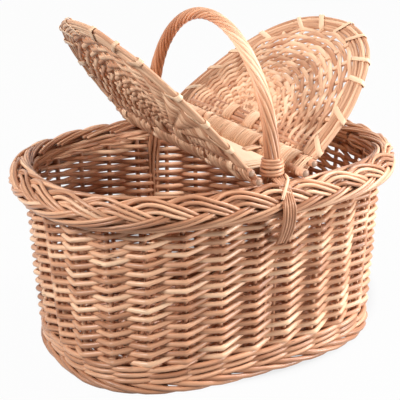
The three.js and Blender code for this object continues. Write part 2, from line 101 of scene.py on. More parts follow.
def run_along(path):
    steps = np.linalg.norm(np.diff(path, axis=0), axis=1)
    return np.concatenate([[0.0], np.cumsum(steps)])


def resample(path, step):
    """The same path with points about one step apart."""
    run = run_along(path)
    even = np.linspace(0.0, run[-1], max(2, int(round(run[-1] / step)) + 1))
    return np.stack([np.interp(even, run, path[:, k]) for k in range(3)], axis=1)


def smooth_path(knots, step):
    """A Catmull-Rom curve through the knots, with points about one step apart."""
    knots = np.asarray(knots, float)
    padded = np.concatenate([[2 * knots[0] - knots[1]], knots, [2 * knots[-1] - knots[-2]]])
    share = np.linspace(0.0, 1.0, 13)[:-1, None]
    parts = []
    for k in range(len(knots) - 1):
        a, b, c, d = padded[k : k + 4]
        first = (c - a) * share
        second = (2 * a - 5 * b + 4 * c - d) * share**2
        third = (3 * b - a - 3 * c + d) * share**3
        parts.append(0.5 * (2 * b + first + second + third))
    parts.append(knots[-1:])
    return resample(np.concatenate(parts), step)


def wander(count, size):
    """Random values that change smoothly, with a new one every few points."""
    knots = rng.normal(0.0, size, count // WANDER_STEP + 3)
    return np.interp(np.arange(count) / WANDER_STEP, np.arange(len(knots)), knots)


def zigzag(phase, sharp=0.985):
    """A wave between 1 at even phases and -1 at odd ones, straight between softly rounded peaks."""
    return np.arcsin(sharp * np.cos(np.pi * phase)) / math.asin(sharp)


def squared_circle(turn, squareness):
    """Both coordinates on an oval of half size 1: it is round at squareness 2 and squarer above that."""
    power = 2.0 / squareness
    c, s = np.cos(turn), np.sin(turn)
    return np.sign(c) * np.abs(c) ** power, np.sign(s) * np.abs(s) ** power


# Rods. Their ends are a little rounded, and each rod lies at its own place in the willow's pattern
END_ROUNDING = 0.3
END_SIZE = 0.8
END_CUT = 0.8
PATTERN_REACH = 400.0


def with_ends(values, share=1.0):
    """The values with their first and last once more, times a share."""
    return np.concatenate([share * values[:1], values, share * values[-1:]])


class Rods:
    """The rods of one piece, gathered into a single mesh. Paths and sizes are in millimetres."""

    def __init__(self):
        self.points, self.place, self.tone, self.cut = [], [], [], []
        self.quads, self.triangles = [], []
        self.count = 0

    def add(self, path, facing, depth, width=None, sides=8, square=2.0, tone=None):
        """One closed rod: depth is its half size towards facing, and width its half size across."""
        path = np.asarray(path, float)
        drawn = rng.random()
        tones = np.broadcast_to(drawn if tone is None else tone, len(path))
        facing = np.broadcast_to(np.asarray(facing, float), path.shape)
        depth = np.broadcast_to(np.asarray(depth, float), len(path))
        width = depth if width is None else np.broadcast_to(np.asarray(width, float), len(path))
        travel = unit(np.gradient(path, axis=0))
        rounding = END_ROUNDING * min(depth[0], width[0])
        first = path[0] - rounding * travel[0]
        last = path[-1] + rounding * travel[-1]
        path = np.concatenate([[first], path, [last]])
        travel = with_ends(travel)
        facing = with_ends(facing)
        depth = with_ends(depth, END_SIZE)
        width = with_ends(width, END_SIZE)
        towards = unit(facing - (facing * travel).sum(1, keepdims=True) * travel)
        across = np.cross(travel, towards)
        c, s = squared_circle(2 * np.pi * np.arange(sides) / sides, square)
        x = depth[:, None] * c
        y = width[:, None] * s
        rings = path[:, None, :] + x[..., None] * towards[:, None, :] + y[..., None] * across[:, None, :]
        run = np.broadcast_to(run_along(path)[:, None], x.shape)
        place = np.stack([x, y, run], axis=-1).reshape(-1, 3)
        end_places = np.array([[0.0, 0.0, 0.0], [0.0, 0.0, run[-1, 0]]])
        shift = rng.uniform(-PATTERN_REACH, PATTERN_REACH, 3)
        cut = np.zeros(x.shape)
        cut[[0, -1]] = END_CUT
        self.points.append(np.concatenate([rings.reshape(-1, 3), path[[0, -1]]]))
        self.place.append(np.concatenate([place, end_places]) + shift)
        self.tone.append(np.append(np.repeat(with_ends(tones), sides), tones[[0, -1]]))
        self.cut.append(np.append(cut, [1.0, 1.0]))
        self.add_faces(len(path), sides)

    def add_faces(self, length, sides):
        """Faces between the rings of a rod, and fans of triangles that close its ends."""
        side = np.arange(sides)
        beside = (side + 1) % sides
        ring = sides * np.arange(length - 1)[:, None]
        quads = [ring + side, ring + beside, ring + sides + beside, ring + sides + side]
        self.quads.append(self.count + np.stack(quads, axis=-1).reshape(-1, 4))
        middle = np.full(sides, length * sides)
        last = (length - 1) * sides
        self.triangles.append(self.count + np.stack([middle, beside, side], axis=-1))
        self.triangles.append(self.count + np.stack([middle + 1, last + side, last + beside], axis=-1))
        self.count += length * sides + 2

    def build(self, name, material, body, slot, *nodes):
        """Makes the mesh object, which rides on the body and stands for the nodes."""
        quads = np.concatenate(self.quads)
        triangles = np.concatenate(self.triangles)
        mesh = bpy.data.meshes.new(name)
        points = np.concatenate(self.points) * MM
        mesh.vertices.add(len(points))
        mesh.vertices.foreach_set("co", points.ravel().astype(np.float32))
        mesh.loops.add(quads.size + triangles.size)
        mesh.loops.foreach_set("vertex_index", np.concatenate([quads.ravel(), triangles.ravel()]))
        triangle_starts = quads.size + 3 * np.arange(len(triangles))
        starts = np.concatenate([4 * np.arange(len(quads)), triangle_starts])
        mesh.polygons.add(len(starts))
        mesh.polygons.foreach_set("loop_start", starts)
        mesh.polygons.foreach_set("use_smooth", np.ones(len(starts), bool))
        mesh.update(calc_edges=True)
        mesh.validate()
        place = mesh.attributes.new("place", "FLOAT_VECTOR", "POINT")
        place.data.foreach_set("vector", np.concatenate(self.place).ravel().astype(np.float32))
        for key, values in (("tone", self.tone), ("cut", self.cut)):
            attribute = mesh.attributes.new(key, "FLOAT", "POINT")
            attribute.data.foreach_set("value", np.concatenate(values).astype(np.float32))
        mesh.materials.append(material)
        piece = bpy.data.objects.new(name, mesh)
        bpy.context.scene.collection.objects.link(piece)
        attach(piece, body)
        if nodes:
            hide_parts(*nodes)


# Willow. The patterns' scales are per millimetre, across a rod both ways and along it
STREAK_SCALE = (0.55, 0.55, 0.022)
STAIN_SCALE = (0.08, 0.08, 0.014)
GRAIN_SCALE = (1.6, 1.6, 0.07)
SCAR_SCALE = (0.16, 0.16, 0.03)
TONE_SHARE = 0.62
STREAK_SHARE = 0.45
STAIN_SHARE = 0.5
SHADE_DROP = 0.29
BLACK = (0.0, 0.0, 0.0)
WHITE = (1.0, 1.0, 1.0)
SCAR_COLOUR = (0.16, 0.07, 0.035)
SCAR_STOPS = ((0.05, (0.75, 0.75, 0.75)), (0.13, BLACK))
CUT_STOPS = ((0.35, BLACK), (0.55, WHITE))
CUT_COLOURS = (
    (0.6, (0.26, 0.13, 0.08)),
    (0.84, (0.40, 0.23, 0.15)),
    (0.97, (0.46, 0.29, 0.20)),
    (1.0, (0.16, 0.08, 0.05)),
)
ROUGHNESS_RANGE = 0.25
BUMP_STRENGTH = 0.2
BUMP_DISTANCE = 0.0004


class Shader:
    """Short calls for the nodes of a material or of the world."""

    def __init__(self, owner):
        owner.use_nodes = True
        self.tree = owner.node_tree

    def node(self, kind, **settings):
        made = self.tree.nodes.new(kind)
        for key, value in settings.items():
            setattr(made, key, value)
        return made

    def link(self, output, socket):
        self.tree.links.new(output, socket)

    def stretched(self, vector, scale):
        made = self.node("ShaderNodeVectorMath", operation="MULTIPLY")
        self.link(vector, made.inputs[0])
        made.inputs[1].default_value = scale
        return made.outputs[0]

    def noise(self, vector, detail):
        made = self.node("ShaderNodeTexNoise")
        made.inputs["Scale"].default_value = 1.0
        made.inputs["Detail"].default_value = detail
        self.link(vector, made.inputs["Vector"])
        return made.outputs[0]

    def math(self, operation, a, b, clamp=False):
        made = self.node("ShaderNodeMath", operation=operation, use_clamp=clamp)
        for socket, value in zip(made.inputs, (a, b)):
            if isinstance(value, (int, float)):
                socket.default_value = value
            else:
                self.link(value, socket)
        return made.outputs[0]

    def ramp(self, value, stops):
        made = self.node("ShaderNodeValToRGB")
        elements = made.color_ramp.elements
        while len(elements) < len(stops):
            elements.new(0.5)
        for element, (position, colour) in zip(elements, stops):
            element.position = position
            element.color = (*colour, 1.0)
        self.link(value, made.inputs[0])
        return made.outputs[0]

    def mix(self, share, a, b):
        made = self.node("ShaderNodeMix", data_type="RGBA")
        for socket, value in ((made.inputs[0], share), (made.inputs[6], a), (made.inputs[7], b)):
            if isinstance(value, tuple):
                socket.default_value = (*value, 1.0)
            else:
                self.link(value, socket)
        return made.outputs[2]


def willow(name, dark, middle, pale, roughness=0.34, gloss=0.4):
    """Peeled willow: each rod has its own tone, streaks along it, stains, bud scars and brown cut ends."""
    material = bpy.data.materials.new(name)
    shader = Shader(material)
    surface = shader.tree.nodes["Principled BSDF"].inputs
    place = shader.node("ShaderNodeAttribute", attribute_name="place").outputs["Vector"]
    tone = shader.node("ShaderNodeAttribute", attribute_name="tone").outputs["Fac"]
    cut = shader.node("ShaderNodeAttribute", attribute_name="cut").outputs["Fac"]
    streaks = shader.noise(shader.stretched(place, STREAK_SCALE), 4.0)
    stains = shader.noise(shader.stretched(place, STAIN_SCALE), 2.0)
    grain = shader.noise(shader.stretched(place, GRAIN_SCALE), 3.0)
    shade = shader.math("MULTIPLY", tone, TONE_SHARE)
    shade = shader.math("ADD", shade, shader.math("MULTIPLY", streaks, STREAK_SHARE))
    shade = shader.math("ADD", shade, shader.math("MULTIPLY", stains, STAIN_SHARE))
    shade = shader.math("SUBTRACT", shade, SHADE_DROP, clamp=True)
    colour = shader.ramp(shade, ((0.18, dark), (0.5, middle), (0.82, pale)))
    scars = shader.node("ShaderNodeTexVoronoi")
    shader.link(shader.stretched(place, SCAR_SCALE), scars.inputs["Vector"])
    scars.inputs["Scale"].default_value = 1.0
    colour = shader.mix(shader.ramp(scars.outputs["Distance"], SCAR_STOPS), colour, SCAR_COLOUR)
    colour = shader.mix(shader.ramp(cut, CUT_STOPS), colour, shader.ramp(cut, CUT_COLOURS))
    shader.link(colour, surface["Base Color"])
    rough = shader.math("MULTIPLY", streaks, ROUGHNESS_RANGE)
    rough = shader.math("ADD", rough, roughness - ROUGHNESS_RANGE / 2)
    shader.link(rough, surface["Roughness"])
    surface["Specular IOR Level"].default_value = gloss
    bump = shader.node("ShaderNodeBump")
    bump.inputs["Strength"].default_value = BUMP_STRENGTH
    bump.inputs["Distance"].default_value = BUMP_DISTANCE
    height = shader.math("ADD", grain, shader.math("MULTIPLY", streaks, 0.8))
    shader.link(height, bump.inputs["Height"])
    shader.link(bump.outputs["Normal"], surface["Normal"])
    return material


body_willow = willow("body_willow", (0.40, 0.175, 0.09), (0.72, 0.385, 0.225), (0.90, 0.60, 0.39))
stake_willow = willow("stake_willow", (0.40, 0.18, 0.10), (0.62, 0.33, 0.20), (0.82, 0.52, 0.34))
handle_willow = willow("handle_willow", (0.44, 0.20, 0.105), (0.72, 0.39, 0.23), (0.92, 0.63, 0.43), 0.36)
lid_willow = willow("lid_willow", (0.52, 0.26, 0.15), (0.86, 0.56, 0.365), (0.95, 0.70, 0.50), 0.5, 0.2)
skein_willow = willow("skein_willow", (0.72, 0.45, 0.28), (0.90, 0.63, 0.42), (0.97, 0.76, 0.55), 0.45)


# The oval wall. Places round it are counted in stakes from its +X end, anticlockwise
TANGENT_STEP = 0.05


def oval_table(half_length, half_width, squareness, steps=3600):
    """Points evenly spaced round an oval, anticlockwise from its +X end, closed on the first."""
    c, s = squared_circle(np.linspace(0.0, 2 * np.pi, 4 * steps + 1), squareness)
    x, y = half_length * c, half_width * s
    run = run_along(np.stack([x, y], axis=1))
    even = np.linspace(0.0, run[-1], steps + 1)
    return np.stack([np.interp(even, run, x), np.interp(even, run, y)], axis=1)


base_table = oval_table(*BASE_OVAL)
top_table = oval_table(*TOP_OVAL)


def oval_at(table, stakes):
    """The points of an oval at places round it."""
    place = (np.asarray(stakes, float) / STAKE_COUNT) % 1.0 * (len(table) - 1)
    low = np.floor(place).astype(int)
    share = (place - low)[:, None]
    return table[low] * (1 - share) + table[low + 1] * share


def wall_at(stakes, heights, outward):
    """Points off the wall's outer face, and the level directions that point out of it."""
    stakes = np.asarray(stakes, float)
    heights = np.broadcast_to(np.asarray(heights, float), stakes.shape)
    share = np.clip(heights / WALL_TOP, 0.0, 1.0)[:, None]

    def level(places):
        return oval_at(base_table, places) * (1 - share) + oval_at(top_table, places) * share

    along = unit(level(stakes + TANGENT_STEP) - level(stakes - TANGENT_STEP))
    normal = np.stack([along[:, 1], -along[:, 0]], axis=1)
    flat = level(stakes) + normal * np.broadcast_to(outward, stakes.shape)[:, None]
    points = np.concatenate([flat, heights[:, None]], axis=1)
    normals = np.concatenate([normal, np.zeros((len(stakes), 1))], axis=1)
    return points, normals


# Side of the basket: one weaver from each stake, all climbing together, each in front of one stake
# and behind the next, up to the inside of the border
WALL_MIDDLE = -10.0
WEAVER_SWING = 7.6
WEAVER_SHARPNESS = 0.9996
WEAVER_DIP = 0.9
WEAVER_WOBBLE = 0.4
WEAVER_BUTT = 3.1
WEAVER_TIP = 2.65
WEAVER_FLATNESS = 0.88
WEAVER_TAPER = 1.4
WEAVER_POINT = 0.3
WEAVER_SINK = 0.6
WEAVER_CLIMB = 4.95
WEAVER_EASE = 0.06
WEAVER_LEAD = 1
WEAVER_END = 199.0
STROKE_PLACES = np.array([-0.5, -0.34, -0.18, -0.06, 0.0, 0.06, 0.18, 0.34])


def side_weave():
    lower, upper = Rods(), Rods()
    low = WEAVE_BOTTOM + WEAVER_BUTT - WEAVER_SINK
    span = round((WEAVER_END - low) / WEAVER_CLIMB)
    along = (np.arange(-WEAVER_LEAD, span + 1)[:, None] + STROKE_PLACES).ravel()
    share = along / span
    crossings = np.arange(-2, span + 2)
    wave = zigzag(along, WEAVER_SHARPNESS)
    eased = (1 + WEAVER_EASE) * share - WEAVER_EASE * share**2
    climb = low + WEAVER_CLIMB * span * eased - WEAVER_DIP * wave
    thickness = WEAVER_BUTT + (WEAVER_TIP - WEAVER_BUTT) * share
    taper = np.clip((span + WEAVER_TAPER / 2 - along) / WEAVER_TAPER, WEAVER_POINT, 1.0)

    def wobble():
        return np.interp(along, crossings, rng.normal(0.0, WEAVER_WOBBLE, len(crossings)))

    for weaver in range(STAKE_COUNT):
        height = climb + wobble()
        swing = WEAVER_SWING * wave + wobble()
        radius = thickness * rng.uniform(0.94, 1.06) * taper
        path, normals = wall_at(FIRST_STAKE + weaver + along, height, WALL_MIDDLE + swing)
        tone = rng.random()
        top = int(np.argmax(height > WEAVE_TOP))
        for part, rods in ((slice(0, top + 1), lower), (slice(top, None), upper)):
            rods.add(path[part], normals[part], WEAVER_FLATNESS * radius[part], radius[part], tone=tone)
    lower.build("side_weave_rods", body_willow, "basket", "willow_body", "side_weave")
    upper.build("top_wale_rods", body_willow, "basket", "willow_body", "top_wale")


STAKE_START = UPSETT_BOTTOM + 0.6
STAKE_MIDDLE = -9.2
STAKE_BUTT = 3.0
STAKE_TIP = 2.7
STAKE_POINTS = 30


def stakes():
    rods = Rods()
    names = []
    height = np.linspace(STAKE_START, WEAVER_END, STAKE_POINTS)
    radius = np.linspace(STAKE_BUTT, STAKE_TIP, STAKE_POINTS)
    for k in range(STAKE_COUNT):
        place = FIRST_STAKE + k + wander(STAKE_POINTS, 0.012)
        path, normals = wall_at(place, height, STAKE_MIDDLE + wander(STAKE_POINTS, 0.3))
        rods.add(path, normals, radius * rng.uniform(0.95, 1.05))
        names.append(f"stake_{k + 1:02d}")
    rods.build("stake_rods", stake_willow, "basket", "willow_stake", *names)


# Upsett: rows of three rods in turn, each in front of two stakes and behind one
UPSETT_ROWS = 3
UPSETT_STRANDS = 3
UPSETT_FIRST = 17.0
UPSETT_PITCH = 6.7
UPSETT_ROD = 2.9
UPSETT_SWING = 7.1
UPSETT_SHARPNESS = 1.5
UPSETT_RISE = 5.8
# Upsett rods draw only darker tones: partly painted shade near the floor, partly the willow's own darker tone
UPSETT_SHADED_PALEST = 0.6
UPSETT_LIFT_PLACES = (0.0, 0.45, 2.55, 3.0)
UPSETT_LIFTS = (0.0, -0.5, 0.5, 0.0)
UPSETT_GAP = 0.6
UPSETT_STEPS = 12


def upsett_wale():
    rods = Rods()
    place = np.linspace(0.0, STAKE_COUNT - UPSETT_GAP, (STAKE_COUNT - 1) * UPSETT_STEPS)
    phase = place % UPSETT_STRANDS
    wave = -UPSETT_SHARPNESS * np.cos(2 * np.pi * phase / UPSETT_STRANDS)
    out = np.tanh(wave) / math.tanh(UPSETT_SHARPNESS)
    lift = np.interp(phase, UPSETT_LIFT_PLACES, UPSETT_LIFTS)
    for row in range(UPSETT_ROWS):
        middle = UPSETT_FIRST + UPSETT_PITCH * row
        for strand in range(UPSETT_STRANDS):
            height = middle + UPSETT_RISE * lift + wander(len(place), 0.25)
            outward = WALL_MIDDLE + UPSETT_SWING * out + wander(len(place), 0.25)
            path, normals = wall_at(FIRST_STAKE - strand - row + place, height, outward)
            radius = UPSETT_ROD * rng.uniform(0.93, 1.07)
            rods.add(path, normals, radius, tone=rng.uniform(0.0, UPSETT_SHADED_PALEST))
    rods.build("upsett_wale_rods", body_willow, "basket", "willow_body", "upsett_wale")


# Foot border: each rod comes down from the wall, runs along the foot and turns in under the next ones
FOOT_STAGES = (0.0, 0.5, 1.0, 1.5, 2.0, 2.5, 3.0)
FOOT_OUT = (-6.5, -2.4, -1.2, -2.0, -4.6, -8.6, -12.0)
FOOT_UP = (13.4, 11.4, 8.4, 5.2, 3.5, 3.3, 4.6)
FOOT_START = 0.4
FOOT_ROD = (3.2, 2.7)
# Foot rods draw only the darkest tones: painted shade near the floor
FOOT_SHADED_PALEST = 0.2


def foot_border():
    rods = Rods()
    stage = np.linspace(FOOT_STAGES[0], FOOT_STAGES[-1], 31)
    for k in range(STAKE_COUNT):
        shift = rng.normal(0.0, 0.05)
        out = np.interp(stage, FOOT_STAGES, FOOT_OUT) + wander(len(stage), 0.2)
        up = np.interp(stage, FOOT_STAGES, FOOT_UP) + np.abs(wander(len(stage), 0.2))
        path, normals = wall_at(FIRST_STAKE + k + FOOT_START + shift + stage, up, out)
        radius = np.linspace(*FOOT_ROD, len(path)) * rng.uniform(0.94, 1.05)
        rods.add(path, normals, radius, tone=rng.uniform(0.0, FOOT_SHADED_PALEST))
    rods.build("foot_border_rods", body_willow, "basket", "willow_body", "foot_border")


# Bottom: rounds of weaving over ribs that run in from the stakes, all at the darkest tone as painted shade
# inside the basket. Short rounds swing less
BASE_MIDDLE = 5.6
BASE_INSET = FOOT_WIDTH + 3.0
BASE_PITCH = 5.3
BASE_SWING = 2.0
BASE_ROD = (2.3, 3.0)
BASE_RIB = 2.4
BASE_HUB = (6.0, 5.0)
BASE_STEP = 5.0
BASE_FULL_SWING = 500.0
BASE_STEPS = 720


def base_panel():
    rods = Rods()
    half_length, half_width, squareness = BASE_OVAL
    rounds = int((half_width - BASE_INSET) / BASE_PITCH)
    for k in range(rounds):
        inset = BASE_INSET + BASE_PITCH * k
        table = oval_table(half_length - inset, half_width - inset, 2.0 + 0.8 * (1 - k / rounds), BASE_STEPS)
        length = run_along(table)[-1]
        place = np.linspace(0.0, STAKE_COUNT, max(60, int(length / BASE_STEP)))
        height = BASE_MIDDLE + BASE_SWING * zigzag(place + k) * min(1.0, length / BASE_FULL_SWING)
        path = np.concatenate([oval_at(table, place), height[:, None]], axis=1)
        depth, width = BASE_ROD
        # tone 0.0 is painted shade: the darkest willow stands in for the shade inside the basket
        rods.add(path, UP, depth * rng.uniform(0.93, 1.05), width, sides=6, tone=0.0)
    inner = oval_table(half_length - half_width + BASE_HUB[0], BASE_HUB[1], 2.0, BASE_STEPS)
    outer = oval_table(half_length - FOOT_WIDTH, half_width - FOOT_WIDTH, squareness, BASE_STEPS)
    for k in range(STAKE_COUNT):
        place = [FIRST_STAKE + k]
        ends = np.concatenate([oval_at(inner, place), oval_at(outer, place)])
        path = resample(spots(*ends.T, BASE_MIDDLE), 12.0)
        # the ribs also take tone 0.0, as painted shade inside the basket
        rods.add(path, UP, BASE_RIB, sides=6, tone=0.0)
    rods.build("base_panel_rods", body_willow, "basket", "willow_body", "base_panel")


# Rim border, a plait: from each stake a pair of rods comes up the outside, goes under the arches and over
# the top to the inside, and three arches rise from behind and bend down to go under the pairs. The knots of
# a rod are its place in stakes, its turn round the border up from the outside and its lift off the border
SECTION_HALF_WIDTH = 12.2
SECTION_HALF_HEIGHT = 16.7
BORDER_SHIFT = 0.89
BORDER_PALEST = 0.8
PAIR = (
    (-2.6, -80.0, -3.0),
    (-2.0, -58.0, -1.6),
    (-1.5, -43.0, -0.6),
    (-1.0, -28.0, 0.4),
    (-0.5, -10.5, 1.0),
    (-0.2, 1.0, 0.9),
    (0.0, 8.5, -0.6),
    (0.16, 16.0, -3.4),
    (0.5, 34.0, -4.8),
    (0.9, 57.0, -4.2),
    (1.25, 77.0, -1.4),
    (1.6, 91.0, 0.8),
    (2.0, 103.0, 1.2),
    (2.5, 117.0, 1.0),
    (3.0, 130.0, 0.8),
    (3.4, 141.0, 0.8),
)
PAIR_SHIFT = 0.12
PAIR_DROP = (16.0, 7.0)
PAIR_ROD = (2.1, 1.85)
HIGH_ARCH = (
    (-2.35, 25.0, -6.0),
    (-2.05, 46.0, -5.0),
    (-1.8, 63.0, -2.6),
    (-1.55, 77.0, 1.0),
    (-1.25, 77.0, 2.0),
    (-1.0, 64.0, 1.8),
    (-0.8, 51.0, 1.2),
    (-0.5, 33.0, 0.5),
    (-0.3, 19.0, -0.6),
    (-0.12, 6.0, -2.6),
    (0.15, -9.0, -3.8),
    (0.4, -22.0, -4.6),
)
MIDDLE_ARCH = (
    (-2.1, 20.0, -6.0),
    (-1.85, 36.0, -4.8),
    (-1.62, 47.0, -2.4),
    (-1.38, 55.0, 0.6),
    (-1.1, 49.0, 1.2),
    (-0.8, 32.0, 1.0),
    (-0.56, 18.0, 0.6),
    (-0.38, 6.0, -0.6),
    (-0.22, -4.0, -2.6),
    (0.0, -14.0, -3.8),
    (0.28, -27.0, -4.8),
)
LOW_ARCH = (
    (-1.75, 8.0, -6.0),
    (-1.5, 20.0, -4.8),
    (-1.25, 27.0, -2.2),
    (-1.05, 25.0, 0.2),
    (-0.78, 12.0, 0.6),
    (-0.56, 2.0, -0.4),
    (-0.36, -8.0, -2.6),
    (-0.1, -19.0, -3.8),
    (0.2, -31.0, -5.0),
)
ARCH_ROD = (2.05, 2.05)
LIFT_SCALE = 10.0
CORE_TURNS = (-60.0, -30.0, 0.0, 30.0, 60.0, 90.0, 120.0)
CORE_LIFT = -7.0
CORE_ROD = 2.7
INNER_TURNS = (150.0, 163.0, 176.0, 189.0)
INNER_LIFT = -2.6
INNER_SWING = (4.0, 1.3)
INNER_ROD = 2.4


def border_at(stakes, turns, lift):
    """Points on the border and the directions out of it, at turns about its middle in degrees."""
    turn = np.radians(turns)
    out = (SECTION_HALF_WIDTH + lift) * np.cos(turn)
    flat, normals = wall_at(stakes, np.full(len(turn), WALL_TOP), out)
    flat[:, 2] = BORDER_MIDDLE + (SECTION_HALF_HEIGHT + lift) * np.sin(turn)
    facing = normals * (np.cos(turn) / SECTION_HALF_WIDTH)[:, None]
    facing[:, 2] = np.sin(turn) / SECTION_HALF_HEIGHT
    return flat, unit(facing)


def border_rod(rods, first, knots, radius):
    """A rod through knots of place, turn and lift, with a radius for its first part and one for its last."""
    run = smooth_path(np.array(knots) * (1.0, np.pi / 180, 1 / LIFT_SCALE), 0.075)
    count = len(run)
    turn = np.degrees(run[:, 1]) + wander(count, 0.8)
    lift = LIFT_SCALE * run[:, 2] + wander(count, 0.2)
    path, facing = border_at(first + run[:, 0], turn, lift)
    sizes = np.interp(np.arange(count), (0.3 * count, 0.55 * count), radius)
    rods.add(path, facing, sizes * rng.uniform(0.92, 1.08), tone=rng.uniform(0.0, BORDER_PALEST))


def rim_border():
    rods = Rods()
    pair = np.array(PAIR)
    drop = np.zeros(pair.shape)
    drop[:, 0] = PAIR_SHIFT
    drop[:, 1] = -np.interp(pair[:, 0], (pair[0, 0], 0.0), PAIR_DROP)
    for k in range(STAKE_COUNT):
        first = k + BORDER_SHIFT + rng.normal(0.0, 0.05)
        for knots in (pair, pair + drop):
            border_rod(rods, first, knots, PAIR_ROD)
        for knots in (HIGH_ARCH, MIDDLE_ARCH, LOW_ARCH):
            border_rod(rods, first + rng.normal(0.0, 0.02), knots, ARCH_ROD)
    place = np.linspace(0.0, STAKE_COUNT - 0.1, 240)
    for turn in CORE_TURNS:
        turns = turn + wander(len(place), 3.0)
        path, facing = border_at(place, turns, CORE_LIFT + wander(len(place), 0.4))
        # tone 0.0 is painted shade: the dark core shows in the gaps of the plait
        rods.add(path, facing, CORE_ROD, sides=6, tone=0.0)
    for k, turn in enumerate(INNER_TURNS):
        wave = 2 * np.pi * (place + k) / 3.0
        turns = turn + INNER_SWING[0] * np.sin(wave) + wander(len(place), 1.0)
        lift = INNER_LIFT + INNER_SWING[1] * np.cos(wave) + wander(len(place), 0.2)
        path, facing = border_at(place, turns, lift)
        rods.add(path, facing, INNER_ROD, sides=7)
    rods.build("rim_border_rods", body_willow, "basket", "willow_body", "rim_border")


# Handle: ten rods twisted round the arch, and legs inside the wall. Places on the arch are shares of it from
# the back foot, and the knots of a leg are its share of the legs' spread, its distance out and its height
HANDLE_RODS = 10
HANDLE_PLACES = (0.0, 0.3, 0.5, 0.65, 0.78, 0.92)
HANDLE_TONES = (0.0, 0.0, 0.45, 0.9, 0.75, 0.25)
HANDLE_TONE_SPREAD = 0.22
HANDLE_FLATNESS = 1.06
TWIST_TOP = math.tan(math.radians(22.0))
TWIST_FOOT = math.tan(math.radians(9.0))
TWIST_PLACES = (0.0, 0.3, 0.55, 0.85, 1.0)
TWIST_SHARES = (0.8, 1.0, 1.0, 0.25, 0.0)
LEG_SPREAD = (-5.6, 0.0, 5.6)
LEG_ROD = 2.3
LEG_KNOTS = (
    (0.7, HANDLE_HALF_SPAN, HANDLE_SPRING + 4.0),
    (0.8, 126.5, 214.0),
    (1.0, 127.5, 196.0),
    (1.0, 131.5, 170.0),
    (1.0, 131.0, 90.0),
    (1.0, 127.5, 14.0),
)


def handle_bow():
    rods = Rods()
    turn = np.linspace(0.0, np.pi, 181)
    arch = spots(0.0, HANDLE_HALF_SPAN * np.cos(turn), HANDLE_SPRING + HANDLE_RISE * np.sin(turn))
    run = run_along(arch)
    share = run / run[-1]
    radius = HANDLE_FOOT_RADIUS + (HANDLE_TOP_RADIUS - HANDLE_FOOT_RADIUS) * np.sin(turn)
    sideways = np.broadcast_to([1.0, 0.0, 0.0], arch.shape)
    upward = np.cross(unit(np.gradient(arch, axis=0)), sideways)
    part = math.sin(math.pi / HANDLE_RODS)
    rod_radius = radius * part / (1 + part)
    lean = np.interp(share, TWIST_PLACES, TWIST_SHARES)
    slope = (TWIST_FOOT + (TWIST_TOP - TWIST_FOOT) * lean) / radius
    twist = np.concatenate([[0.0], np.cumsum(0.5 * (slope[1:] + slope[:-1]) * np.diff(run))])
    for k in range(HANDLE_RODS):
        angle = 2 * np.pi * k / HANDLE_RODS - twist + wander(len(run), 0.015)
        radial = np.cos(angle)[:, None] * sideways + np.sin(angle)[:, None] * upward
        reach = radius - rod_radius + wander(len(run), 0.05)
        size = rod_radius * rng.uniform(0.95, 1.05)
        tone = np.interp(share, HANDLE_PLACES, HANDLE_TONES)
        tone = tone + rng.uniform(-HANDLE_TONE_SPREAD, HANDLE_TONE_SPREAD)
        rods.add(arch + reach[:, None] * radial, radial, size, HANDLE_FLATNESS * size, tone=tone)
    rods.add(arch[::4], SIDEWAYS, (radius - 1.5 * rod_radius)[::4], tone=0.1)
    for side, _ in ENDS:
        for across in LEG_SPREAD:
            knots = [(share * across, side * out, height) for share, out, height in LEG_KNOTS]
            radius = LEG_ROD * rng.uniform(0.95, 1.05)
            rods.add(smooth_path(knots, 6.0), SIDEWAYS, radius, tone=rng.uniform(0.0, 0.3))
    rods.build("handle_bow_rods", handle_willow, "basket", "willow_handle", "handle_bow")


BINDING_TURNS = 4.6
BINDING_PITCH = 3.5
BINDING_ROD = 1.8
BINDING_START = 1.2
BINDING_SINK = 0.35
BINDING_SPREAD = (1.2, -0.6)
BINDING_TONE = 0.4


def arch_half_span(height):
    rise = np.maximum(height - HANDLE_SPRING, 0.0) / HANDLE_RISE
    return HANDLE_HALF_SPAN * np.sqrt(1 - rise**2)


def handle_binding(side, name):
    rods = Rods()
    turn = np.linspace(0.0, 2 * np.pi * BINDING_TURNS, int(28 * BINDING_TURNS))
    height = BINDING_BOTTOM + BINDING_PITCH * turn / (2 * np.pi) + wander(len(turn), 0.45)
    radial = spots(np.cos(turn + BINDING_START), np.sin(turn + BINDING_START), 0.0)
    centre = spots(0.0, side * arch_half_span(height), height)
    spread = np.interp(turn, (0.0, 2 * np.pi * BINDING_TURNS), BINDING_SPREAD)
    reach = BINDING_RADIUS - BINDING_SINK + spread + wander(len(turn), 0.3)
    path = centre + reach[:, None] * radial
    rods.add(path, radial, BINDING_ROD, sides=9, tone=BINDING_TONE + wander(len(turn), 0.15))
    piece = f"handle_binding_{name}_rods"
    rods.build(piece, handle_willow, "basket", "willow_handle", f"handle_binding_{name}")


# Tail: rods side by side, over the border and into the weave, and one rod across them. The knots are the
# share of a rod's place across the tail, its shift, its distance out and its height
TAIL_RODS = 5
TAIL_ROD = 1.6
TAIL_PALEST = 0.35
TAIL_KNOTS = (
    (0.8, 0.8, 133.0, 228.5),
    (0.85, 0.6, 140.5, 224.0),
    (0.75, 1.0, 148.5, 220.0),
    (0.72, 1.6, 155.5, 213.0),
    (0.85, 1.6, 160.5, 204.0),
    (1.0, 2.0, 162.0, 196.0),
    (1.0, 3.0, 160.5, 186.0),
    (1.0, 5.4, 154.5, 174.0),
    (1.0, 6.5, 149.0, 164.0),
    (1.0, 6.5, 143.5, 155.0),
)
TAIL_CROSSING = (
    (10.5, 139.0, 225.5),
    (8.0, 148.0, 224.0),
    (2.0, 154.5, 219.5),
    (-4.5, 160.0, 213.0),
    (-6.8, 161.0, 208.5),
)


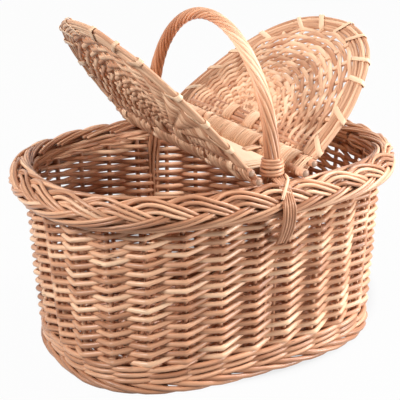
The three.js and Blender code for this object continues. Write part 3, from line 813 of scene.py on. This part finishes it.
def handle_tail(side, name):
    rods = Rods()
    share, shift, out, height = np.array(TAIL_KNOTS).T
    for k in range(TAIL_RODS):
        across = (k - (TAIL_RODS - 1) / 2) * TAIL_WIDTH / TAIL_RODS
        wobble = np.append(rng.normal(0.0, 0.12, len(TAIL_KNOTS) - 1), 0.0)
        knots = spots(-side * (share * across + shift + wobble), side * out, height)
        knots[-1, 2] += rng.uniform(-2.0, 2.0)
        radius = TAIL_ROD * rng.uniform(0.95, 1.05)
        rods.add(smooth_path(knots, 3.0), SIDEWAYS, radius, tone=rng.uniform(0.0, TAIL_PALEST))
    knots = np.array(TAIL_CROSSING) * (-side, side, 1.0)
    rods.add(smooth_path(knots, 2.5), (0, side, 0), TAIL_ROD, tone=0.9)
    rods.build(f"handle_tail_{name}_rods", handle_willow, "basket", "willow_handle", f"handle_tail_{name}")


# Cross bar: a smooth slat, wound with skein at each end
SLAT_HALF_WIDTH = 19.4
SLAT_HALF_THICKNESS = 4.4
SLAT_SQUARENESS = 4.5
SLAT_POINTS = 40
BAR_WRAP_TURNS = 3
BAR_WRAP_HALF_STRIP = 2.5
BAR_WRAP_HALF_THICKNESS = 0.8
BAR_WRAP_PITCH = 6.2
BAR_WRAP_START = 4.5


def flat_loop(half_width, half_thickness, steps):
    """Points and outward directions round a flat oval, from the foot of its +X end round to the same."""
    reach = half_width - half_thickness
    turn = np.linspace(-np.pi / 2, np.pi / 2, steps)
    right = np.stack([reach + half_thickness * np.cos(turn), half_thickness * np.sin(turn)], axis=1)
    out = np.stack([np.cos(turn), np.sin(turn)], axis=1)
    return np.concatenate([right, -right, right[:1]]), np.concatenate([out, -out, out[:1]])


def winding(loop, out, turns, fine):
    """A loop gone round several times: its points, outward directions and the turns made at each."""
    count = len(loop) - 1
    steps = np.arange(0, turns * count * fine + 1) / fine
    step = steps % count
    places = np.arange(count + 1)
    run = run_along(loop)
    points = np.stack([np.interp(step, places, loop[:, k]) for k in range(2)], axis=1)
    facing = np.stack([np.interp(step, places, out[:, k]) for k in range(2)], axis=1)
    return points, facing, np.floor(steps / count) + np.interp(step, places, run) / run[-1]


def cross_bar():
    slat = Rods()
    y = np.linspace(-BAR_HALF_LENGTH + 0.5, BAR_HALF_LENGTH - 0.5, SLAT_POINTS)
    path = spots(wander(SLAT_POINTS, 0.1), y, HINGE_HEIGHT + wander(SLAT_POINTS, 0.1))
    # tone 0.9 is partly the slat's own pale colour and partly painted light where the bar lies in shade
    slat.add(path, UP, SLAT_HALF_THICKNESS, SLAT_HALF_WIDTH, sides=28, square=SLAT_SQUARENESS, tone=0.9)
    slat.build("cross_bar_slat", skein_willow, "basket", "willow_stake", "cross_bar")
    thickness = BAR_WRAP_HALF_THICKNESS
    loop, out = flat_loop(BAR_HALF_WIDTH - thickness, BAR_HALF_THICKNESS - thickness, 7)
    for side, name in ENDS:
        wrap = Rods()
        points, facing, turns = winding(loop, out, BAR_WRAP_TURNS, 2)
        y = side * (BAR_HALF_LENGTH - BAR_WRAP_START - BAR_WRAP_PITCH * turns)
        path = spots(points[:, 0], y, HINGE_HEIGHT + points[:, 1])
        wrap.add(path, spots(facing[:, 0], 0.0, facing[:, 1]), thickness, BAR_WRAP_HALF_STRIP, square=3.0)
        piece = f"cross_bar_wrap_{name}_skein"
        wrap.build(piece, skein_willow, "basket", "willow_skein", f"cross_bar_wrap_{name}")


# Lids, drawn flat with X away from the hinge and Y along it
# Tone ranges per lid: the left lid's darker range is partly painted shade for its shaded underside and partly
# redder willow, and the right lid's range is lowered as painted shade against its strong light
LID_SHADED_AND_LIT_TONES = {"left": (0.0, 0.45), "right": (0.05, 0.75)}


class Lid:
    def __init__(self, name):
        self.name = name
        self.body = f"{name}_lid"
        angle = math.radians(LID_OPEN[name])
        c, s = math.cos(angle), math.sin(angle)
        self.sign = 1.0 if name == "right" else -1.0
        self.turn = np.array([[self.sign * c, 0.0, -self.sign * s], [0.0, self.sign, 0.0], [s, 0.0, c]])
        self.hinge = np.array([self.sign * HINGE_REACH, 0.0, HINGE_HEIGHT])

    def rod(self, rods, path, facing, *sizes, **settings):
        """A rod on the open lid. A tone is drawn for it even where the settings give one."""
        settings.setdefault("tone", rng.uniform(*LID_SHADED_AND_LIT_TONES[self.name]))
        facing = np.asarray(facing, float)
        rods.add(path @ self.turn.T + self.hinge, facing @ self.turn.T, *sizes, **settings)

    def node(self, part):
        return f"lid_{self.name}_{part}"


def lid_outline(inset, step, start):
    """A half oval that starts and ends at a distance from the hinge, as level points."""
    angle = np.linspace(-np.pi / 2, np.pi / 2, 2001)
    length, half_width = LID_LENGTH - inset, LID_HALF_WIDTH - inset
    terms = (np.abs(np.cos(angle)) / length) ** LID_SQUARENESS
    terms = terms + (np.abs(np.sin(angle)) / half_width) ** LID_SQUARENESS
    radius = terms ** (-1.0 / LID_SQUARENESS)
    path = spots(radius * np.cos(angle), radius * np.sin(angle), 0.0)
    return resample(path[path[:, 0] >= start], step)


# Strands wound round the two sticks of the hinge. At the loops they leave the hinge stick bare and go round
# the edge stick alone, and where the shut lid lies on the border they are thinner
COIL_MIDDLE = 6.9
COIL_HALF_WIDTH = 11.7
COIL_HALF_THICKNESS = 5.1
COIL_SQUARENESS = 2.4
COIL_STEPS = 20
COIL_PITCH = 4.1
COIL_ROD = 1.8
COIL_FILL = 0.36
COIL_LEAN = 0.9
# Tone ranges per lid: the left coil's dark range is partly painted shade and partly redder willow, and the
# right coil's pale range is painted light where it lies in shade by the bar
COIL_SHADED_AND_LIT_TONES = {"left": (0.0, 0.55), "right": (0.3, 1.0)}
END_COIL_START = 126.0
END_COIL_STOP = LID_HALF_WIDTH - 1.0
END_COIL_HALF_THICKNESS = 4.1
END_COIL_ROD = 0.9
NOTCH_WIDTH = 13.4
NOTCH_COIL = (EDGE_STICK_REACH + 0.6, 4.9, 5.2)


def coil(lid, rods, middle, half_width, half_thickness, stretch, pitch=COIL_PITCH, rod=COIL_ROD):
    """A strand wound round and round a flat oval, which changes in tone from turn to turn."""
    low, high = stretch
    turns = max(1, int((high - low) / pitch))
    turn = np.linspace(0.0, 2 * np.pi, COIL_STEPS + 1)
    x, z = squared_circle(turn, COIL_SQUARENESS)
    loop = np.stack([half_width * x, half_thickness * z], axis=1)
    out = unit(np.stack([np.cos(turn) / half_width, np.sin(turn) / half_thickness], axis=1))
    points, facing, gone = winding(loop, out, turns, 1)
    y = low + pitch / 2 + (high - low - pitch) * gone / turns + wander(len(gone), 0.35)
    swell = 1.0 + wander(len(gone), 0.015)
    tones = np.interp(gone, np.arange(turns + 1), rng.uniform(*COIL_SHADED_AND_LIT_TONES[lid.name], turns + 1))
    path = spots(middle + points[:, 0] * swell, y, points[:, 1] * swell)
    path[:, 1] += COIL_LEAN * np.cos(turn)[np.arange(len(gone)) % COIL_STEPS]
    lid.rod(rods, path, spots(facing[:, 0], 0.0, facing[:, 1]), rod, COIL_FILL * pitch, tone=tones)


def hinge_coils(lid, rods):
    half_notch = NOTCH_WIDTH / 2
    notch = LOOP_SPACING / 2
    for place in (-notch, notch):
        coil(lid, rods, *NOTCH_COIL, (place - half_notch, place + half_notch))
    for stretch in (
        (-END_COIL_START, -notch - half_notch),
        (half_notch - notch, notch - half_notch),
        (notch + half_notch, END_COIL_START),
    ):
        coil(lid, rods, COIL_MIDDLE, COIL_HALF_WIDTH, COIL_HALF_THICKNESS, stretch)
    for stretch in ((-END_COIL_STOP, -END_COIL_START), (END_COIL_START, END_COIL_STOP)):
        coil(lid, rods, COIL_MIDDLE, COIL_HALF_WIDTH, END_COIL_HALF_THICKNESS, stretch, rod=END_COIL_ROD)


# Ribs fan out from a hub on three thin sticks beside the hinge, and rows of weaving go round the hub.
# The sticks are wound on both sides of the hub and bare at it
HUB = np.array([31.6, 9.0])
RIB_COUNT = 13
RIB_ANGLE = 12.5
RIB_ROD = (2.2, 2.4)
RIB_POINTS = 24
ROW_COUNT = 22
ROW_FIRST = 14.0
ROW_SWING = 2.8
ROW_ROD = (1.9, 3.0)
ROW_ANGLE = 112.0
PANEL_EDGE = 36.0
HINGE_EDGE = 19.0
PANEL_GAP = 2.6
PANEL_STICKS = (26.0, 31.6, 37.2)
PANEL_STICK_RADIUS = 2.8
PANEL_STICK_REACH = 118.0
PANEL_STICK_POINTS = 40
BARE_STRETCH = (-10.0, 12.0)
PANEL_COIL = (HUB[0], 10.4, 4.2)
PANEL_COIL_PITCH = 4.6
PANEL_COIL_REACH = 34.0


def panel_reach(angles):
    """Distance from the hub to the inside of the lid's rim, at angles in degrees from X."""
    edge = lid_outline(LID_RIM_WIDTH + PANEL_GAP, 2.0, LID_RIM_START)[:, :2] - HUB
    edge_angles = np.degrees(np.arctan2(edge[:, 1], edge[:, 0]))
    return np.interp(angles, edge_angles, np.linalg.norm(edge, axis=1))


def fan(angles, radii):
    turn = np.radians(angles)
    return spots(HUB[0] + radii * np.cos(turn), HUB[1] + radii * np.sin(turn), 0.0)


def lid_weave(lid):
    rods = Rods()
    fine = np.linspace(-ROW_ANGLE, ROW_ANGLE, 225)
    for row in range(ROW_COUNT):
        radii = ROW_FIRST + (panel_reach(fine) - ROW_FIRST) * (row / (ROW_COUNT - 1))
        path = fan(fine, radii)
        edge = HINGE_EDGE if radii.min() > PANEL_COIL_REACH + 2.0 else PANEL_EDGE
        path = resample(path[path[:, 0] > edge], 3.0)
        angles = np.degrees(np.arctan2(path[:, 1] - HUB[1], path[:, 0] - HUB[0]))
        path[:, 2] = ROW_SWING * zigzag(angles / RIB_ANGLE + row) + wander(len(path), 0.2)
        path[:, 0] += wander(len(path), 0.4)
        depth, width = ROW_ROD
        lid.rod(rods, path, UP, depth, width * rng.uniform(0.9, 1.08))
    for k in range(RIB_COUNT):
        angle = RIB_ANGLE * (k - (RIB_COUNT - 1) / 2)
        path = fan(angle, np.linspace(4.0, panel_reach(angle) + 4.0, RIB_POINTS))
        path[:, 2] += wander(len(path), 0.2)
        lid.rod(rods, path, UP, *RIB_ROD)
    bare_low, bare_high = HUB[1] + np.array(BARE_STRETCH)
    for stretch in ((HUB[1] - PANEL_COIL_REACH, bare_low), (bare_high, HUB[1] + PANEL_COIL_REACH)):
        coil(lid, rods, *PANEL_COIL, stretch, PANEL_COIL_PITCH)
    hinge_coils(lid, rods)
    rods.build(lid.node("weave_rods"), lid_willow, lid.body, "willow_lid", lid.node("weave"))
    sticks = Rods()
    for x in PANEL_STICKS:
        y = np.linspace(-PANEL_STICK_REACH, PANEL_STICK_REACH, PANEL_STICK_POINTS)
        path = spots(x + wander(len(y), 0.2), y, wander(len(y), 0.15))
        lid.rod(sticks, path, UP, PANEL_STICK_RADIUS, sides=10)
    sticks.build(lid.node("panel_sticks"), stake_willow, lid.body, "willow_lid")


# Rim: long rods side by side, tied across with slanting strips. The left lid's ends are tied as well
RIM_RODS = 5
RIM_ROD = 2.3
RIM_DEPTH = RIM_ROD * 1.05
RIM_ENDS = LID_RIM_START + 1.0
TIE_COUNT = 12
TIE_LEAN = 16.0
TIE_HALF_WIDTH = 3.0
TIE_HALF_THICKNESS = 0.45
END_TIES = {"left": (-1, 1), "right": ()}
END_TIE_PLACE = 120.0
END_TIE_PITCH = 3.3
END_TIE_MIDDLE = 9.0
END_TIE_SLANT = 0.05
END_TIE_HALF_SIZE = (13.0, 6.6)
END_TIE_STRIP = (0.7, 1.6)


def lid_rim(lid):
    rods = Rods()
    pitch = (LID_RIM_WIDTH - 2 * RIM_ROD) / (RIM_RODS - 1)
    for k in range(RIM_RODS):
        path = lid_outline(RIM_ROD + pitch * k, 4.0, RIM_ENDS)
        path[:, 2] = wander(len(path), 0.6)
        path[:, 0] += wander(len(path), 0.4)
        lid.rod(rods, path, UP, RIM_DEPTH, RIM_ROD * rng.uniform(0.9, 1.05))
    rods.build(lid.node("rim_rods"), lid_willow, lid.body, "willow_lid", lid.node("rim"))


def lid_ties(lid):
    ties = Rods()
    middle = lid_outline(LID_RIM_WIDTH / 2, 1.0, RIM_ENDS)
    loop, out = flat_loop(LID_RIM_WIDTH / 2 + 0.9, RIM_ROD + 1.0, 7)
    for k in range(TIE_COUNT):
        share = (k + 0.45 + rng.uniform(-0.3, 0.3)) / TIE_COUNT
        place = int(share * (len(middle) - 2))
        along = unit(middle[place + 1] - middle[place])
        across = np.array([along[1], -along[0], 0.0])
        lean = math.copysign(TIE_LEAN, share - 0.5) * rng.uniform(0.6, 1.2)
        path = middle[place] + loop[:, :1] * across + (lean * loop[:, 0] / LID_RIM_WIDTH)[:, None] * along
        path[:, 2] = loop[:, 1]
        facing = out[:, :1] * across
        facing[:, 2] = out[:, 1]
        half_width = TIE_HALF_WIDTH * rng.uniform(0.85, 1.1)
        lid.rod(ties, path, facing, TIE_HALF_THICKNESS, half_width, square=3.0)
    loop, out = flat_loop(*END_TIE_HALF_SIZE, 9)
    for side in END_TIES[lid.name]:
        for strand in (-1, 0, 1):
            y = side * (END_TIE_PLACE + END_TIE_PITCH * strand) + END_TIE_SLANT * loop[:, 0]
            path = spots(END_TIE_MIDDLE + loop[:, 0], y, loop[:, 1])
            lid.rod(ties, path, spots(out[:, 0], 0.0, out[:, 1]), *END_TIE_STRIP, square=2.6)
    ties.build(lid.node("rim_ties"), skein_willow, lid.body, "willow_skein")


# The two sticks of the hinge
LID_STICKS = (
    ("hinge_stick", 0.0, HINGE_STICK_RADIUS - 0.15),
    ("edge_stick", EDGE_STICK_REACH, EDGE_STICK_RADIUS - 0.15),
)
STICK_POINTS = 60


def lid_sticks(lid):
    for part, x, radius in LID_STICKS:
        rods = Rods()
        path = spots(x, np.linspace(-STICK_HALF_LENGTH, STICK_HALF_LENGTH, STICK_POINTS), 0.0)
        size = radius * (1.0 + wander(STICK_POINTS, 0.012))
        lid.rod(rods, path, UP, size, sides=14)
        rods.build(lid.node(part + "_rod"), stake_willow, lid.body, "willow_lid", lid.node(part))


# Skein loops that tie the hinge stick to the edge of the cross bar, through the slat
LOOP_STRANDS = (-1.5, -0.5, 0.5, 1.5)
LOOP_PITCH = 2.7
LOOP_STICK_RADIUS = 5.7
LOOP_BAR_REACH = 14.0
LOOP_BAR_HALF_SIZE = (4.0, 5.1)
LOOP_STRIP = (1.1, 1.45)


def lid_loops(lid):
    turn = np.linspace(0.0, 2 * np.pi, 33)
    c, s = np.cos(turn), np.sin(turn)
    half_width, half_height = LOOP_BAR_HALF_SIZE
    x = np.where(c < 0, LOOP_BAR_REACH + half_width * c, HINGE_REACH + LOOP_STICK_RADIUS * c)
    z = np.where(c < 0, half_height, LOOP_STICK_RADIUS) * s
    facing = spots(lid.sign * c, 0.0, s)
    for side, end in ENDS:
        rods = Rods()
        for strand in LOOP_STRANDS:
            y = side * LOOP_SPACING / 2 + LOOP_PITCH * strand + 0.2 * np.sin(turn + strand)
            rods.add(spots(lid.sign * x, y, HINGE_HEIGHT + z), facing, *LOOP_STRIP)
        piece = lid.node(f"loop_{end}_skein")
        rods.build(piece, lid_willow, "basket", "willow_skein", lid.node(f"loop_{end}"))


# Studio, in metres and degrees: a pale floor with a painted soft shadow under and behind the basket, lamps
# with their place, size and power, and the camera at the photograph's angle
AMBIENT_STRENGTH = 0.06
FLOOR_HALF_SIZE = 6.0
FLOOR_HEIGHT = -0.0005
# The floor's dark grey shows only in the painted shadow oval, where its white glow fades out
FLOOR_GREY = 0.3
FLOOR_WHITE = 0.97
SHADOW_MIDDLE = (0.075, 0.13, 0.0)
SHADOW_TURN = 60.16
SHADOW_HALF_SIZE = (0.30, 0.225, 1.0)
SHADOW_FADE = 0.72
LAMPS = (
    ("key", (1.85, -0.6, 2.05), 0.8, 80.0),
    ("fill", (-2.0, -0.35, 1.6), 0.9, 58.0),
    ("front", (1.9, -1.6, 0.4), 0.7, 60.0),
    ("top", (0.1, 0.2, 2.3), 1.2, 10.0),
)
LAMP_AIM = (0.0, 0.0, 0.15)
CAMERA_AZIMUTH = math.radians(-29.84)
CAMERA_ELEVATION = math.radians(19.21)
CAMERA_DISTANCE = 1.20196
CAMERA_SHIFT = -0.00785
CAMERA_AIM_HEIGHT = 0.15814
CAMERA_LENS = 95.125
CAMERA_SENSOR = 36.0


def background_rays(shader):
    """1 for rays that should see the white background, which are camera, glossy and transmission rays."""
    rays = shader.node("ShaderNodeLightPath").outputs
    seen = shader.math("MAXIMUM", rays["Is Camera Ray"], rays["Is Glossy Ray"])
    return shader.math("MAXIMUM", seen, rays["Is Transmission Ray"])


def floor_glow(shader):
    """The floor's share of white: none in an oval under and behind the basket, where its dark grey shows as a
    painted shadow, and nearly all elsewhere.
    """
    place = shader.node("ShaderNodeNewGeometry")
    shadow = shader.node("ShaderNodeMapping", vector_type="TEXTURE")
    shadow.inputs["Location"].default_value = SHADOW_MIDDLE
    shadow.inputs["Rotation"].default_value = (0.0, 0.0, math.radians(SHADOW_TURN))
    shadow.inputs["Scale"].default_value = SHADOW_HALF_SIZE
    shader.link(place.outputs["Position"], shadow.inputs["Vector"])
    reach = shader.node("ShaderNodeVectorMath", operation="LENGTH")
    shader.link(shadow.outputs["Vector"], reach.inputs[0])
    fade = shader.node("ShaderNodeMapRange", interpolation_type="SMOOTHSTEP")
    fade.inputs["From Min"].default_value = SHADOW_FADE
    fade.inputs["From Max"].default_value = 1.0
    fade.inputs["To Max"].default_value = FLOOR_WHITE
    shader.link(reach.outputs["Value"], fade.inputs["Value"])
    return shader.math("MULTIPLY", background_rays(shader), fade.outputs["Result"])


def end_in_mix(shader, output_kind, share, first, second):
    """Ends a node tree in a mix of two kinds of light or surface."""
    mixer = shader.node("ShaderNodeMixShader")
    shader.link(share, mixer.inputs[0])
    shader.link(first.outputs[0], mixer.inputs[1])
    shader.link(second.outputs[0], mixer.inputs[2])
    shader.link(mixer.outputs[0], shader.node(output_kind).inputs["Surface"])


def background(scene):
    scene.world = bpy.data.worlds.new("studio")
    shader = Shader(scene.world)
    shader.tree.nodes.clear()
    ambient = shader.node("ShaderNodeBackground")
    seen = shader.node("ShaderNodeBackground")
    for light, strength in ((ambient, AMBIENT_STRENGTH), (seen, 1.0)):
        light.inputs["Color"].default_value = (*WHITE, 1.0)
        light.inputs["Strength"].default_value = strength
    end_in_mix(shader, "ShaderNodeOutputWorld", background_rays(shader), ambient, seen)


def pale_floor(scene):
    mesh = bpy.data.meshes.new("floor")
    size = FLOOR_HALF_SIZE
    corners = [(-size, -size, 0), (size, -size, 0), (size, size, 0), (-size, size, 0)]
    mesh.from_pydata(corners, [], [(0, 1, 2, 3)])
    floor = bpy.data.objects.new("floor", mesh)
    floor.location.z = FLOOR_HEIGHT
    scene.collection.objects.link(floor)
    paint = bpy.data.materials.new("pale_floor")
    shader = Shader(paint)
    shader.tree.nodes.clear()
    diffuse = shader.node("ShaderNodeBsdfDiffuse")
    diffuse.inputs["Color"].default_value = (FLOOR_GREY, FLOOR_GREY, FLOOR_GREY, 1.0)
    glow = shader.node("ShaderNodeEmission")
    glow.inputs["Strength"].default_value = 1.0
    end_in_mix(shader, "ShaderNodeOutputMaterial", floor_glow(shader), diffuse, glow)
    mesh.materials.append(paint)


def lamps(scene):
    for name, place, size, power in LAMPS:
        lamp = bpy.data.lights.new(name, "AREA")
        lamp.shape = "DISK"
        lamp.size = size
        lamp.energy = power
        holder = bpy.data.objects.new(name, lamp)
        holder.location = place
        beam = Vector(LAMP_AIM) - Vector(place)
        holder.rotation_euler = beam.to_track_quat("-Z", "Y").to_euler()
        scene.collection.objects.link(holder)


def photograph_camera(scene):
    level = math.cos(CAMERA_ELEVATION)
    x, y = math.sin(CAMERA_AZIMUTH) * level, -math.cos(CAMERA_AZIMUTH) * level
    back = Vector((x, y, math.sin(CAMERA_ELEVATION)))
    right = Vector((math.cos(CAMERA_AZIMUTH), math.sin(CAMERA_AZIMUTH), 0.0))
    aim = CAMERA_SHIFT * right + Vector((0.0, 0.0, CAMERA_AIM_HEIGHT))
    lens = bpy.data.cameras.new("camera")
    lens.sensor_width = CAMERA_SENSOR
    lens.lens = CAMERA_LENS
    camera = bpy.data.objects.new("camera", lens)
    camera.location = aim + CAMERA_DISTANCE * back
    camera.rotation_euler = (-back).to_track_quat("-Z", "Y").to_euler()
    scene.collection.objects.link(camera)
    scene.camera = camera


def studio():
    scene = bpy.context.scene
    scene.view_settings.view_transform = "Standard"
    background(scene)
    pale_floor(scene)
    lamps(scene)
    photograph_camera(scene)


side_weave()
stakes()
upsett_wale()
foot_border()
base_panel()
rim_border()
handle_bow()
for side, name in ENDS:
    handle_binding(side, name)
    handle_tail(side, name)
cross_bar()
for name in LID_OPEN:
    lid = Lid(name)
    lid_weave(lid)
    lid_rim(lid)
    lid_ties(lid)
    lid_sticks(lid)
    lid_loops(lid)
studio()
